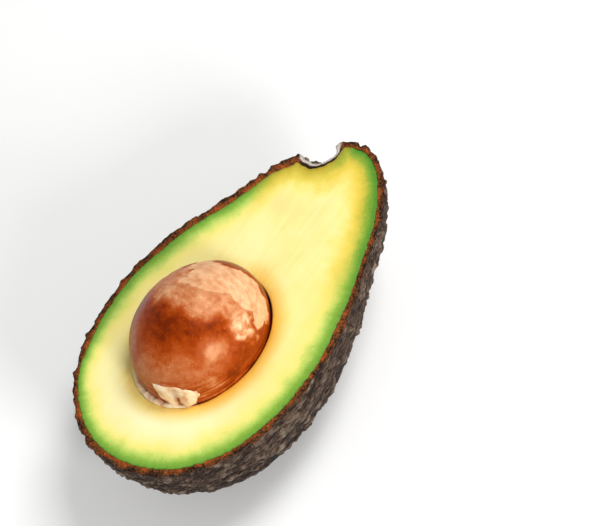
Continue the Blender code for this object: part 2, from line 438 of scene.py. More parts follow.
# A slow wander bends the rows of pebbles, which are longer along the fruit than across it.
wander = add(pebbles, "ShaderNodeTexNoise", {"Vector": place, "Scale": 1 / (4.0 * MM), "Detail": 2.0})
wander = add(pebbles, "ShaderNodeVectorMath", {
    0: wander.outputs["Color"], 1: (0.5, 0.5, 0.5),
}, operation="SUBTRACT")
wander = add(pebbles, "ShaderNodeVectorMath", {0: wander, "Scale": 3.2 * MM}, operation="SCALE")
moved = add(pebbles, "ShaderNodeVectorMath", {0: place, 1: wander}, operation="ADD")
longer = add(pebbles, "ShaderNodeVectorMath", {0: moved, 1: (1.0, 0.66, 1.0)}, operation="MULTIPLY")
voronoi = add(pebbles, "ShaderNodeTexVoronoi", {
    "Vector": over_size(longer, "Pebble size"), "Scale": 1.0, "Smoothness": 0.25, "Randomness": 1.0,
}, feature="SMOOTH_F1")
dome = add(pebbles, "ShaderNodeMapRange", {
    "Value": voronoi.outputs["Distance"], "From Min": 0.05, "From Max": 0.68, "To Min": 1.0, "To Max": 0.0,
}, interpolation_type="SMOOTHSTEP")
uneven = add(pebbles, "ShaderNodeTexNoise", {"Vector": moved, "Scale": 1 / (5.0 * MM), "Detail": 1.0})
uneven = add(pebbles, "ShaderNodeMapRange", {
    "Value": uneven.outputs["Fac"], "From Min": 0.35, "From Max": 0.65, "To Min": 0.35, "To Max": 1.0,
})
dome_share = add(pebbles, "ShaderNodeMath", {
    0: dome.outputs["Result"], 1: uneven.outputs["Result"],
}, operation="MULTIPLY")
# Wrinkles: sharp crests that run along the fruit where its noise passes the middle of its range.
longest = add(pebbles, "ShaderNodeVectorMath", {0: moved, 1: (1.0, 0.3, 1.0)}, operation="MULTIPLY")
wrinkles = add(pebbles, "ShaderNodeTexNoise", {
    "Vector": over_size(longest, "Wrinkle size"), "Scale": 1.0, "Detail": 2.0,
})
crest = add(pebbles, "ShaderNodeMath", {0: wrinkles.outputs["Fac"], 1: 0.5}, operation="SUBTRACT")
crest = add(pebbles, "ShaderNodeMath", {0: crest}, operation="ABSOLUTE")
crest = add(pebbles, "ShaderNodeMapRange", {
    "Value": crest, "From Min": 0.0, "From Max": 0.13, "To Min": 1.0, "To Max": 0.0,
})
swells = add(pebbles, "ShaderNodeTexNoise", {
    "Vector": over_size(moved, "Swell size"), "Scale": 1.0, "Detail": 1.0,
})
swell = add(pebbles, "ShaderNodeMath", {0: swells.outputs["Fac"], 1: 0.5}, operation="SUBTRACT")
lift = add(pebbles, "ShaderNodeMath", {
    0: dome_share, 1: given.outputs["Pebble height"],
}, operation="MULTIPLY")
lift = add(pebbles, "ShaderNodeMath", {
    0: crest.outputs["Result"], 1: given.outputs["Wrinkle height"], 2: lift,
}, operation="MULTIPLY_ADD")
lift = add(pebbles, "ShaderNodeMath", {
    0: swell, 1: given.outputs["Swell height"], 2: lift,
}, operation="MULTIPLY_ADD")
lift = add(pebbles, "ShaderNodeMath", {0: lift, 1: -GROOVE_DEPTH}, operation="ADD")
# How high a place stands, from 0 in the grooves to 1, which colours it.
tone = add(pebbles, "ShaderNodeMath", {
    0: crest.outputs["Result"], 1: 0.35, 2: dome_share,
}, operation="MULTIPLY_ADD")
tone = add(pebbles, "ShaderNodeMath", {0: swell, 1: 0.5, 2: tone}, operation="MULTIPLY_ADD")
outward = add(pebbles, "GeometryNodeInputNamedAttribute", {
    "Name": "outward",
}, data_type="FLOAT_VECTOR")
raised = add(pebbles, "ShaderNodeVectorMath", {
    0: outward.outputs[0], "Scale": lift.outputs[0],
}, operation="SCALE")
placed = add(pebbles, "GeometryNodeSetPosition", {
    "Geometry": given.outputs["Geometry"], "Offset": raised,
})
kept = add(pebbles, "GeometryNodeStoreNamedAttribute", {
    "Geometry": placed, "Name": "relief", "Value": tone,
}, data_type="FLOAT", domain="POINT")
real = add(pebbles, "GeometryNodeRealizeInstances", {"Geometry": kept})
dressed = add(pebbles, "GeometryNodeSetMaterial", {"Geometry": real, "Material": rind})
add(pebbles, "NodeGroupOutput", {"Geometry": dressed})


def grown(obj, group, sockets, sizes):
    """Runs a node group on the object and keeps the result as its plain mesh."""
    modifier = obj.modifiers.new(group.name, "NODES")
    modifier.node_group = group
    for key, value in sizes.items():
        modifier[sockets[key].identifier] = value
    depsgraph = bpy.context.evaluated_depsgraph_get()
    mesh = bpy.data.meshes.new_from_object(
        obj.evaluated_get(depsgraph), preserve_all_data_layers=True, depsgraph=depsgraph
    )
    obj.modifiers.remove(modifier)
    obj.data = mesh
    mesh.shade_smooth()
    return obj


grown(skin, pebbles, peel_sockets, peel_sizes)
# The soft back settles on what it lies on, so its lowest pebbles are pressed flat there.
TABLE_HEIGHT = 0.0
spots = np.zeros(len(skin.data.vertices) * 3, np.float32)
skin.data.vertices.foreach_get("co", spots)
spots = spots.reshape(-1, 3)
spots[:, 2] = np.maximum(spots[:, 2], TABLE_HEIGHT)
skin.data.vertices.foreach_set("co", spots.ravel())
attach(skin, "root")
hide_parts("skin")

# ---------------------------------------------------------------- flesh
# Soft buttery flesh, cut level through the middle of the fruit. It is cream at the heart, yellow further
# out and green for the last few millimetres under the skin. The stone leaves a smooth cup in it.

STONE_LOW, STONE_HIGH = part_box("stone")
STONE_CENTRE = np.array((STONE_LOW + STONE_HIGH) / 2)
STONE_HALF = np.array((STONE_HIGH - STONE_LOW) / 2)
STONE_TAPER = 0.05
FLESH_GAP = 0.05 * MM
LIP_DIP, LIP_DIP_REACH = 0.35 * MM, 0.8 * MM
EDGE_DIP, EDGE_DIP_REACH = 0.15 * MM, 0.3 * MM
UNEVEN_DEPTH, UNEVEN_SIZE = 0.10 * MM, 9 * MM
CUP_DEEPER = 0.4 * MM
UNDER_ROOM = 0.75 * MM
HOLLOW_ROOM = 1.2 * MM
OUTLINE_POINTS, FACE_STEPS, CUP_STEPS, UNDER_STEPS = 700, 54, 14, 26


def compass(points):
    """Degrees round the stone, from 0 at the right of the fruit, through 90 at its stem end."""
    return np.degrees(np.arctan2(points[..., 1] - STONE_CENTRE[1], points[..., 0] - STONE_CENTRE[0])) % 360


def by_compass(points, table):
    """A value that changes smoothly with the direction from the stone."""
    angles, values = zip(*table)
    return np.interp(compass(points), angles, values, period=360)


# Right side from the stem end down, then the left side back up, evened out along its length.
outline = np.concatenate([outline_right, outline_left[::-1][1:-1]])
inward = np.concatenate([normals_right, normals_left[::-1][1:-1]])
outline = outline - FLESH_GAP * inward
outline[:, 2] = CUT_HEIGHT


def evened_out(line, count):
    """The closed line as count points, equally far apart."""
    closed = np.concatenate([line, line[:1]])
    run = np.concatenate([[0], np.cumsum(np.linalg.norm(np.diff(closed, axis=0), axis=1))])
    even = np.linspace(0, run[-1], count, endpoint=False)
    return np.stack([np.interp(even, run, closed[:, axis]) for axis in range(3)], axis=-1)


outline = evened_out(outline, OUTLINE_POINTS)
# Points where the line doubles back on itself are dropped.
for _ in range(4):
    before, after = outline - np.roll(outline, 1, axis=0), np.roll(outline, -1, axis=0) - outline
    spike = (before * after).sum(axis=1) < 0
    outline = outline[~spike]
outline = evened_out(outline, OUTLINE_POINTS)

# The cup's rim follows the stone, with room for the seed coat. It stands off most at the blossom end.
# Each table pairs a compass direction in degrees with its value, here in millimetres.
CUP_ROOM = [(0, 0.30), (60, 0.30), (120, 0.6), (180, 0.9), (225, 1.5), (262, 1.9), (290, 1.2), (325, 0.35)]
SMOOTH_OVER = 36


def steady_turn(line, middle):
    """The direction in radians of each point of a closed line from the middle, which always turns on."""
    angle = np.unwrap(np.arctan2(line[:, 1] - middle[1], line[:, 0] - middle[0]))
    steps = -np.diff(np.append(angle, angle[0] - 2 * math.pi))
    for _ in range(3):
        near_steps = [np.roll(steps, shift) for shift in range(-SMOOTH_OVER, SMOOTH_OVER + 1)]
        steps = sum(near_steps) / len(near_steps)
    steady = angle[0] - np.concatenate([[0], np.cumsum(steps[:-1])])
    return steady + np.mean(angle - steady)


turn = steady_turn(outline, STONE_CENTRE)
toward = np.stack([np.cos(turn), np.sin(turn)], axis=-1)
STONE_AT_CUT = STONE_HALF * math.sqrt(1 - ((STONE_CENTRE[2] - CUT_HEIGHT) / STONE_HALF[2]) ** 2)
rim_radius = 1 / np.sqrt((toward[:, 0] / STONE_AT_CUT[0]) ** 2 + (toward[:, 1] / STONE_AT_CUT[1]) ** 2)
room = by_compass(outline, CUP_ROOM) * MM
cup_rim = np.zeros_like(outline)
cup_rim[:, :2] = STONE_CENTRE[:2] + toward * (rim_radius + room)[:, None]
cup_rim[:, 2] = CUT_HEIGHT

share = np.linspace(0, 1, FACE_STEPS + 1)
share = 0.5 * share + 0.5 * (0.5 - 0.5 * np.cos(math.pi * share))
face = cup_rim[None] + (outline - cup_rim)[None] * share[:, None, None]

from_skin = distance_to(face, outline)
from_stone = distance_to(face, cup_rim)
# The face dips over the cup's rounded lip and at the very edge, and is a little uneven in between.
lip_dip, edge_dip = np.exp(-from_stone / LIP_DIP_REACH), np.exp(-from_skin / EDGE_DIP_REACH)
face[..., 2] -= LIP_DIP * lip_dip + EDGE_DIP * edge_dip
unevenness = UNEVEN_DEPTH * rough(face, UNEVEN_SIZE, seed=1.7, octaves=2)
face[..., 2] += unevenness * np.clip(from_skin / (1 * MM), 0, 1)

# Below its rim the cup rounds under the stone.
sink = np.linspace(0, math.pi / 2, CUP_STEPS + 1)[1:]
cup = np.zeros((CUP_STEPS, OUTLINE_POINTS, 3))
cup[..., :2] = STONE_CENTRE[:2] + (cup_rim[:, :2] - STONE_CENTRE[:2])[None] * np.cos(sink)[:, None, None]
cup[..., 2] = CUT_HEIGHT + (face[0, :, 2] - CUT_HEIGHT)[None] * np.cos(sink)[:, None]
cup[..., 2] -= (STONE_HALF[2] + CUP_DEEPER) * np.sin(sink)[:, None]
# Under the face the flesh fills the skin: each line runs out from the stone's middle to just inside it.
start = np.array([0.0, STONE_CENTRE[1], CUT_HEIGHT])
INSET = PEEL_THICKNESS + UNDER_ROOM
dip = np.linspace(0, math.pi / 2, UNDER_STEPS + 1)[1:]
rays = np.zeros((UNDER_STEPS, OUTLINE_POINTS, 3))
under_turn = steady_turn(outline, start)
flat_way = np.stack([np.cos(under_turn), np.sin(under_turn)], axis=-1)
rays[..., :2] = flat_way[None] * np.cos(dip)[:, None, None]
rays[..., 2] = -np.sin(dip)[:, None]


def inside_skin(points):
    """Which points lie inside the peel's inner wall, with a little room to spare."""
    points = points + hollow_push(points, HOLLOW_RADIUS + HOLLOW_ROOM)[..., None] * HOLLOW_OUTWARD
    along = points[..., 1] / (HALF_LENGTH - INSET)
    safe = np.clip(along, -1, 1)
    side = (points[..., 0] - lean(safe)) / np.maximum(half_width(safe) - INSET, 1e-6)
    down = (CUT_HEIGHT - points[..., 2]) / np.maximum(back_depth(safe) - INSET, 1e-6)
    return (np.abs(along) < 1) & (side ** 2 + down ** 2 < 1) & (points[..., 2] > INSET)


# Halving the range again and again finds where each line meets the peel.
near, far = np.zeros(rays.shape[:2]), np.full(rays.shape[:2], 2 * HALF_LENGTH)
for _ in range(30):
    middle = (near + far) / 2
    within = inside_skin(start + rays * middle[..., None])
    near, far = np.where(within, middle, near), np.where(within, far, middle)
under = start + rays * near[..., None]
flesh_points = np.concatenate([cup[::-1], face, under])
rows = len(flesh_points)


def over_rows(values, fill):
    """The face's values with one fill value for the cup and none for the underside, in the mesh's order."""
    return np.concatenate([np.full(cup.shape[:2], fill), values, np.zeros(under.shape[:2])]).ravel()


# Round the fruit: how many millimetres thick the green layer is, and from 0 to 1 how far it turns to ochre
# or olive, how strongly yellow-orange is painted beside the stone (partly a stain, partly painted shade and
# orange light thrown off the stone), and how creamy the heart is.
GREEN_LAYER = [
    (0, 5.8), (40, 5.6), (60, 5.6), (80, 5.6), (90, 5.0), (94, 4.4), (100, 4.2), (112, 5.2), (150, 5.8),
    (190, 5.2), (215, 3.4), (240, 3.8), (275, 5.2), (320, 5.6),
]
OCHRE = [(0, 0.0), (35, 0.0), (58, 0.7), (75, 1.0), (100, 1.0), (106, 0.5), (112, 0.0)]
OLIVE = [(0, 0.0), (89, 0.0), (92.5, 1.0), (105, 1.0), (113, 0.0)]
STONE_STAIN_AND_SHADE = [(0, 0.9), (40, 1.0), (70, 0.7), (100, 0.3), (180, 0.05), (250, 0.1), (290, 0.6), (330, 1.0)]
CREAMY = [(0, 0.1), (60, 0.2), (110, 0.25), (180, 0.1), (225, 0.5), (270, 1.0), (310, 0.9), (340, 0.3)]
flesh = mesh_object(
    "flesh_half", flesh_points.reshape(-1, 3), ring_faces(rows, OUTLINE_POINTS),
    from_skin=over_rows(from_skin / MM, 20.0),
    from_stone=over_rows(from_stone / MM, 0.0),
    green_layer=over_rows(by_compass(face, GREEN_LAYER), 5.0),
    ochre=over_rows(by_compass(face, OCHRE), 0.0),
    olive=over_rows(by_compass(face, OLIVE), 0.0),
    glow=over_rows(by_compass(face, STONE_STAIN_AND_SHADE), 0.5),
    creamy=over_rows(by_compass(face, CREAMY), 0.5),
)

# Ripe avocado flesh, cut with a knife: soft and oily, so light sinks in a little and gives no hard shine.
flesh_stuff, tree, shader = new_material("ripe_avocado_flesh", {
    "Roughness": 0.48, "IOR": 1.40, "Subsurface Weight": 0.12, "Subsurface Radius": (1.0, 0.8, 0.3),
    "Subsurface Scale": 1.2 * MM,
})
coords = add(tree, "ShaderNodeTexCoord").outputs["Object"]
skin_mm, layer_mm, stone_mm, ochre_share, olive_share, glow_share, creamy_share = [
    add(tree, "ShaderNodeAttribute", attribute_name=name).outputs["Fac"]
    for name in ("from_skin", "green_layer", "from_stone", "ochre", "olive", "glow", "creamy")
]
patchy = add(tree, "ShaderNodeTexNoise", {"Vector": coords, "Scale": 1 / (5 * MM), "Detail": 4.0})
speckle = add(tree, "ShaderNodeTexNoise", {"Vector": coords, "Scale": 1 / (0.45 * MM), "Detail": 2.0})
depth = add(tree, "ShaderNodeMath", {0: skin_mm, 1: layer_mm}, operation="DIVIDE")
wavy = add(tree, "ShaderNodeMapRange", {
    "Value": patchy.outputs["Fac"], "From Min": 0.3, "From Max": 0.7, "To Min": 0.82, "To Max": 1.18,
})
depth = add(tree, "ShaderNodeMath", {0: depth, 1: wavy.outputs["Result"]}, operation="MULTIPLY")
speck = add(tree, "ShaderNodeMapRange", {
    "Value": speckle.outputs["Fac"], "From Min": 0.3, "From Max": 0.7, "To Min": -0.05, "To Max": 0.05,
})
depth = add(tree, "ShaderNodeMath", {0: depth, 1: speck.outputs["Result"]}, operation="ADD")
half_depth = add(tree, "ShaderNodeMath", {0: depth, 1: 0.5}, operation="MULTIPLY")
green_to_yellow = add(tree, "ShaderNodeValToRGB", {"Fac": half_depth}, stops=[
    (0.0, "#588d27"), (1.0, "#fff0a0"), (0.06, "#72a334"), (0.14, "#84b23c"), (0.23, "#abcb58"),
    (0.33, "#d3df6e"), (0.44, "#f2ea80"), (0.6, "#ffee8c"),
])
to_ochre = add(tree, "ShaderNodeValToRGB", {"Fac": half_depth}, stops=[
    (0.0, "#417d1c"), (1.0, "#ffee8a"), (0.10, "#62982a"), (0.21, "#93ad33"), (0.29, "#c8bd40"),
    (0.42, "#e6cd4b"), (0.60, "#f8da57"), (0.8, "#fde56c"),
])
to_olive = add(tree, "ShaderNodeValToRGB", {"Fac": half_depth}, stops=[
    (0.0, "#a58f2e"), (1.0, "#fff192"), (0.12, "#c4af32"), (0.3, "#dcc649"), (0.5, "#efdc62"),
    (0.7, "#fbea7c"),
])
outer_colour = add(tree, "ShaderNodeMix", {
    "Factor": ochre_share, "A": green_to_yellow.outputs["Color"], "B": to_ochre.outputs["Color"],
}, data_type="RGBA")
outer_colour = add(tree, "ShaderNodeMix", {
    "Factor": olive_share, "A": outer_colour.outputs[2], "B": to_olive.outputs["Color"],
}, data_type="RGBA")
# Cream and yellow clouds at the heart, with faint fibres that run towards the stem.
clouds = add(tree, "ShaderNodeTexNoise", {"Vector": coords, "Scale": 1 / (16 * MM), "Detail": 3.0})
fibre_place = add(tree, "ShaderNodeMapping", {"Vector": coords, "Scale": (1.0, 0.09, 1.0)})
fibres = add(tree, "ShaderNodeTexNoise", {"Vector": fibre_place, "Scale": 1 / (1.3 * MM), "Detail": 3.0})
cloudy = add(tree, "ShaderNodeMath", {0: clouds.outputs["Fac"], 1: 0.72}, operation="MULTIPLY")
cloudy = add(tree, "ShaderNodeMath", {0: fibres.outputs["Fac"], 1: 0.28, 2: cloudy}, operation="MULTIPLY_ADD")
heart = add(tree, "ShaderNodeValToRGB", {"Fac": cloudy}, stops=[
    (0.36, "#fbdc7c"), (0.66, "#fff3a9"), (0.45, "#fde888"), (0.55, "#ffee98"),
])
away_share = add(tree, "ShaderNodeMapRange", {
    "Value": stone_mm, "From Min": 0.5, "From Max": 5.0, "To Min": 0.0, "To Max": 1.0,
}, interpolation_type="SMOOTHSTEP")
cream = add(tree, "ShaderNodeMath", {0: away_share.outputs["Result"], 1: creamy_share}, operation="MULTIPLY")
heart = add(tree, "ShaderNodeMix", {
    "Factor": cream, "A": heart.outputs["Color"], "B": linear("#fff7bf"),
}, data_type="RGBA")
inwards = add(tree, "ShaderNodeMapRange", {"Value": depth, "From Min": 0.95, "From Max": 2.2})
colour = add(tree, "ShaderNodeMix", {
    "Factor": inwards.outputs["Result"], "A": outer_colour.outputs[2], "B": heart.outputs[2],
}, data_type="RGBA")
# Beside the stone the flesh is painted deeper yellow-orange: partly a stain, partly painted shade and orange
# light thrown off the stone.
stain_and_shade_amount = add(tree, "ShaderNodeMapRange", {
    "Value": stone_mm, "From Min": 0.0, "From Max": 6.0, "To Min": 1.0, "To Max": 0.0,
}, interpolation_type="SMOOTHSTEP")
stain_and_shade_amount = add(tree, "ShaderNodeMath", {0: stain_and_shade_amount.outputs["Result"], 1: glow_share}, operation="MULTIPLY")
colour = add(tree, "ShaderNodeMix", {
    "Factor": stain_and_shade_amount, "A": colour.outputs[2], "B": linear("#f5b83c"),
}, data_type="RGBA")
tree.links.new(colour.outputs[2], shader.inputs["Base Color"])
knife = add(tree, "ShaderNodeMath", {0: fibres.outputs["Fac"], 1: speckle.outputs["Fac"]}, operation="ADD")
bump = add(tree, "ShaderNodeBump", {"Height": knife, "Strength": 0.18, "Distance": 0.12 * MM})
tree.links.new(bump.outputs["Normal"], shader.inputs["Normal"])
flesh.data.materials.append(flesh_stuff)
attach(flesh, "root")
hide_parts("flesh")

# ---------------------------------------------------------------- stone
# The seed: a hard egg-shaped stone. Its thin brown coat has dried to the seed, and has flaked off in
# ragged layers over the side towards the stem, where the pale tan seed shows.

STONE_DETAIL = 7
stone_mesh = bpy.data.meshes.new("seed")
bm = bmesh.new()
bmesh.ops.create_icosphere(bm, subdivisions=STONE_DETAIL, radius=1.0)
bm.to_mesh(stone_mesh)
bm.free()
unit = np.zeros(len(stone_mesh.vertices) * 3, np.float32)
stone_mesh.vertices.foreach_get("co", unit)
unit = unit.reshape(-1, 3).astype(float)
narrow = 1 - STONE_TAPER * unit[:, 1]
stone_points = unit * STONE_HALF
stone_points[:, 0] *= narrow
stone_points[:, 2] *= narrow
# Places on the stone are in millimetres from its middle, each with how far the mark spreads round it.
PALE = [
    ((2, 11, 13), 6.6), ((-5, 13, 10), 4.6), ((7.5, 13.5, 8.5), 6.4), ((12.2, 12.2, 3.2), 5.2),
    ((-1.5, 6.5, 15.3), 3.2),
]
WORN = [
    ((0, 2.5, 16), 6.0), ((-5, 2, 15), 5.0), ((-9, 5, 13), 6.0), ((4.5, 2.5, 15.5), 5.2), ((8.5, 6, 13), 4.6),
    ((11, 7, 10.5), 5.0), ((14, 4, 7), 3.6),
]
FLAKES = [((13.8, 5.2, 8.0), 2.6), ((15.0, 2.3, 6.4), 2.4), ((15.4, 5.2, 4.6), 2.6)]
DARK = [((2.0, -5.0, 15.5), 8.5), ((9.0, 0.5, 13.6), 4.0), ((16.0, 0.0, 2.0), 4.0), ((15.0, -7.0, 0.0), 5.0)]
# Paler patches: partly a paler coat, partly painted sheen along the lower and left edges and round the
# highlight.
LIGHTER_AND_SHEEN = [
    ((13.2, -7, 7.5), 4.6), ((1, -16.5, 8.5), 6.5), ((6.8, -14.6, 8.7), 5.5), ((11.3, -11.8, 7), 5.0),
    ((-8.5, -12, 10), 4.5), ((13, -10.5, 2.5), 4.0),
]
# A painted highlight: a soft pale spot on the stone's lower right.
PAINTED_HIGHLIGHT = [((12.8, -5.1, 9.6), 2.6)]
# How far each kind of mark moves the tone, which runs from 0, dark brown, to 1, pale tan.
WHOLE_TONE, CLOUD_TONE, WORN_TONE, PALE_TONE, FLAKE_TONE = 0.15, 0.05, 0.38, 0.21, 0.34
CRINKLE_TONE, SWEEP_TONE, DARK_TONE = 0.08, 0.13, 0.05
LIGHTER_AND_SHEEN_TONE, PAINTED_HIGHLIGHT_TONE, BAND_TONE, EDGE_LINE_AND_SHADE_TONE = 0.24, 0.20, 0.34, 0.16
# How far each kind of mark raises or lowers the surface, in millimetres.
SWELL_RISE, PALE_FALL, WORN_FALL, FLAKE_RISE = 0.20, 0.16, 0.10, 0.10
CRINKLE_RISE, SWEEP_RISE, BAND_RISE = 0.10, 0.12, 0.05
local = stone_points / MM
bend = np.stack([rough(local, 4.5, seed=shift, octaves=4) for shift in (11.3, 23.1, 37.9)], axis=-1)


def spread(places, soft, bending):
    """From 0 to 1, how far inside the nearest of the places each point is, with bent edges."""
    bent = local + bending * bend
    inside = [(reach - np.linalg.norm(bent - np.array(middle), axis=1)) / soft for middle, reach in places]
    return np.clip(np.max(inside, axis=0) + 0.5, 0, 1)


pale, worn = spread(PALE, 0.8, 2.6), spread(WORN, 3.0, 1.7)
worn = np.maximum(pale, worn)
scaly = rough(local, 1.7, seed=4.4, octaves=3)
flakes = spread(FLAKES, 1.6, 2.0) * np.clip(2.2 * scaly + 0.4, 0, 1)
low_down = np.clip((2.0 - local[:, 2]) / 6 - local[:, 1] / 16, 0, 1)
bands = rough(local * np.array([0.10, 0.10, 1.5]), 1.0, seed=8.8, octaves=2)
crinkle = rough(local, 2.2, seed=6.1, octaves=3)
sweeps = rough(local * np.array([0.16, 0.75, 0.75]) + 0.5 * bend, 1.0, seed=5.2, octaves=3)
tone = WHOLE_TONE + CLOUD_TONE * rough(local, 6.0, seed=3.3) + WORN_TONE * worn + PALE_TONE * pale
tone += FLAKE_TONE * flakes * (1 - pale)
tone += (CRINKLE_TONE * crinkle + SWEEP_TONE * sweeps) * worn
tone -= DARK_TONE * spread(DARK, 6.0, 1.0) * (1 - worn)
# The paler patches with their painted sheen, and the painted highlight, show only where the coat is whole.
tone += (LIGHTER_AND_SHEEN_TONE * spread(LIGHTER_AND_SHEEN, 7.0, 2.5) + PAINTED_HIGHLIGHT_TONE * spread(PAINTED_HIGHLIGHT, 3.0, 1.0)) * (1 - pale)
tone += BAND_TONE * low_down * np.clip(bands + 0.5 * crinkle, -0.3, 1) * (1 - pale)
# Dark lines along the edges of the flaked layers: partly cracks, partly painted shade under the raised edges.
edge_lines_and_shade = 4 * pale * (1 - pale) + 2 * worn * (1 - worn) * (1 - pale)
tone -= EDGE_LINE_AND_SHADE_TONE * edge_lines_and_shade * np.clip(0.6 + scaly, 0, 1)
# The layers that have gone leave the seed slightly lower there, with a crinkled face and raised edges.
raised = SWELL_RISE * rough(local, 14, seed=5.5, octaves=2)
raised = raised - PALE_FALL * pale - WORN_FALL * worn + FLAKE_RISE * flakes
raised += (CRINKLE_RISE * crinkle + SWEEP_RISE * sweeps) * worn + BAND_RISE * bands * low_down
stone_points += unit * (MM * raised)[:, None] + STONE_CENTRE
stone_mesh.vertices.foreach_set("co", stone_points.astype(np.float32).ravel())
store(stone_mesh, tone=tone, bared=np.maximum(pale, 0.6 * worn))
stone_mesh.shade_smooth()
stone = in_scene("seed", stone_mesh)

# Dried seed coat over the seed: smooth and waxy where whole, dull and paler where it has flaked.
seed_stuff, tree, shader = new_material("avocado_seed_with_dried_coat", {
    "IOR": 1.5, "Specular IOR Level": 0.18, "Specular Tint": linear("#ffe2c4"),
})
coords = add(tree, "ShaderNodeTexCoord").outputs["Object"]
tone_here = add(tree, "ShaderNodeAttribute", attribute_name="tone").outputs["Fac"]
bared_here = add(tree, "ShaderNodeAttribute", attribute_name="bared").outputs["Fac"]
mottle = add(tree, "ShaderNodeTexNoise", {
    "Vector": coords, "Scale": 1 / (1.6 * MM), "Detail": 5.0, "Roughness": 0.65,
})
mottling = add(tree, "ShaderNodeMapRange", {
    "Value": mottle.outputs["Fac"], "From Min": 0.3, "From Max": 0.7, "To Min": -0.07, "To Max": 0.07,
})
tone_here = add(tree, "ShaderNodeMath", {0: tone_here, 1: mottling.outputs["Result"]}, operation="ADD")
pores = add(tree, "ShaderNodeTexVoronoi", {"Vector": coords, "Scale": 1 / (0.9 * MM)})
pores = add(tree, "ShaderNodeMapRange", {
    "Value": pores.outputs["Distance"], "From Min": 0.08, "From Max": 0.16, "To Min": 0.22, "To Max": 0.0,
})
tone_here = add(tree, "ShaderNodeMath", {0: tone_here, 1: pores.outputs["Result"]}, operation="ADD")
stone_colour = add(tree, "ShaderNodeValToRGB", {"Fac": tone_here}, stops=[
    (0.05, "#6e2000"), (0.97, "#f5cda0"), (0.18, "#973600"), (0.32, "#ad4f1c"), (0.46, "#c07446"),
    (0.60, "#d39063"), (0.74, "#e5ad7f"), (0.86, "#eebb8d"),
])
tree.links.new(stone_colour.outputs["Color"], shader.inputs["Base Color"])
stone_rough = add(tree, "ShaderNodeMapRange", {"Value": bared_here, "To Min": 0.30, "To Max": 0.55})
tree.links.new(stone_rough.outputs["Result"], shader.inputs["Roughness"])
grain = add(tree, "ShaderNodeTexNoise", {"Vector": coords, "Scale": 1 / (0.7 * MM), "Detail": 4.0})
grain_size = add(tree, "ShaderNodeMapRange", {"Value": bared_here, "To Min": 0.15, "To Max": 0.6})
bump = add(tree, "ShaderNodeBump", {
    "Height": grain.outputs["Fac"], "Strength": grain_size.outputs["Result"], "Distance": 0.25 * MM,
})
tree.links.new(bump.outputs["Normal"], shader.inputs["Normal"])
stone.data.materials.append(seed_stuff)
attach(stone, "root")
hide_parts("stone")

# ---------------------------------------------------------------- seed coat
# The papery coat between stone and flesh. Most of it stays down in the cup. A pale torn edge of it lines
# the cup's rim at the blossom end.

COAT_POINTS, COAT_STEPS = 360, 16
FLESH_CLEAR, STONE_CLEAR = 0.06 * MM, 0.12 * MM
OUTSIDE_SHORT, INSIDE_SHORT, INSIDE_LOWER = 0.1 * MM, 0.5 * MM, 0.25 * MM
TORN_DEPTH, TORN_LIFT, TORN_SIZE = 0.35, 0.22 * MM, 1.1 * MM
# How high the torn edge stands, in millimetres above the cut, in each compass direction.
COAT_EDGE = [(0, -1.6), (190, -1.6), (213, -0.7), (231, 0.2), (262, 0.5), (285, 0.3), (305, -1.0)]
angle = np.linspace(0, 2 * math.pi, COAT_POINTS, endpoint=False)
toward = np.stack([np.cos(angle), np.sin(angle)], axis=-1)
spot = np.zeros((COAT_POINTS, 3))
spot[:, :2] = STONE_CENTRE[:2] + toward
radius = 1 / np.sqrt((toward[:, 0] / STONE_AT_CUT[0]) ** 2 + (toward[:, 1] / STONE_AT_CUT[1]) ** 2)
room = by_compass(spot, CUP_ROOM) * MM
torn = rough(spot - STONE_CENTRE, 0.06, seed=2.2)
edge_height = (by_compass(spot, COAT_EDGE) + TORN_DEPTH * torn) * MM


def coat_wall(reach, deep, edge):
    """A cup-shaped wall from its torn edge down to the bottom."""
    sink = np.linspace(0, math.pi / 2, COAT_STEPS + 1)
    rows = np.zeros((COAT_STEPS + 1, COAT_POINTS, 3))
    rows[..., :2] = STONE_CENTRE[:2] + toward[None] * (reach[None] * np.cos(sink)[:, None])[..., None]
    fall = np.sin(sink)[:, None]
    rows[..., 2] = CUT_HEIGHT - deep * fall + edge[None] * (1 - fall) ** 4
    return rows


coat_outside = coat_wall(radius + room - FLESH_CLEAR, STONE_HALF[2] - OUTSIDE_SHORT, edge_height)
coat_inside = coat_wall(radius + STONE_CLEAR, STONE_HALF[2] - INSIDE_SHORT, edge_height - INSIDE_LOWER)
middle_row = (coat_outside[:1] + coat_inside[:1]) / 2
middle_row[..., 2] += TORN_LIFT * (1 + rough(middle_row[0], TORN_SIZE, seed=1.2))[None]
coat_rows = np.concatenate([coat_outside[::-1], middle_row, coat_inside])
coat = mesh_object("coat", coat_rows.reshape(-1, 3), ring_faces(len(coat_rows), COAT_POINTS))

# Dry papery seed coat: pale cream with pinkish-brown flecks, no shine. The scrap has a light brown tint all
# over, and painted shade, a darker brown, in its crease.
paper, tree, shader = new_material("dry_papery_seed_coat", {"Roughness": 0.65})
coords = add(tree, "ShaderNodeTexCoord").outputs["Object"]
flecks = add(tree, "ShaderNodeTexNoise", {"Vector": coords, "Scale": 1 / (2.2 * MM), "Detail": 5.0})
coat_colour = add(tree, "ShaderNodeValToRGB", {"Fac": flecks.outputs["Fac"]}, stops=[
    (0.32, "#dca679"), (0.68, "#ffefcd"), (0.42, "#f0c798"), (0.52, "#f8dcb2"),
])
# Brown mixed in by this attribute: a light tint all over the scrap, and painted shade in its crease.
crease_here = add(tree, "ShaderNodeAttribute", attribute_name="crease").outputs["Fac"]
coat_colour = add(tree, "ShaderNodeMix", {
    "Factor": crease_here, "A": coat_colour.outputs["Color"], "B": linear("#8a4a24"),
}, data_type="RGBA")
tree.links.new(coat_colour.outputs[2], shader.inputs["Base Color"])
coat.data.materials.append(paper)
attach(coat, "root")
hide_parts("seed_coat")

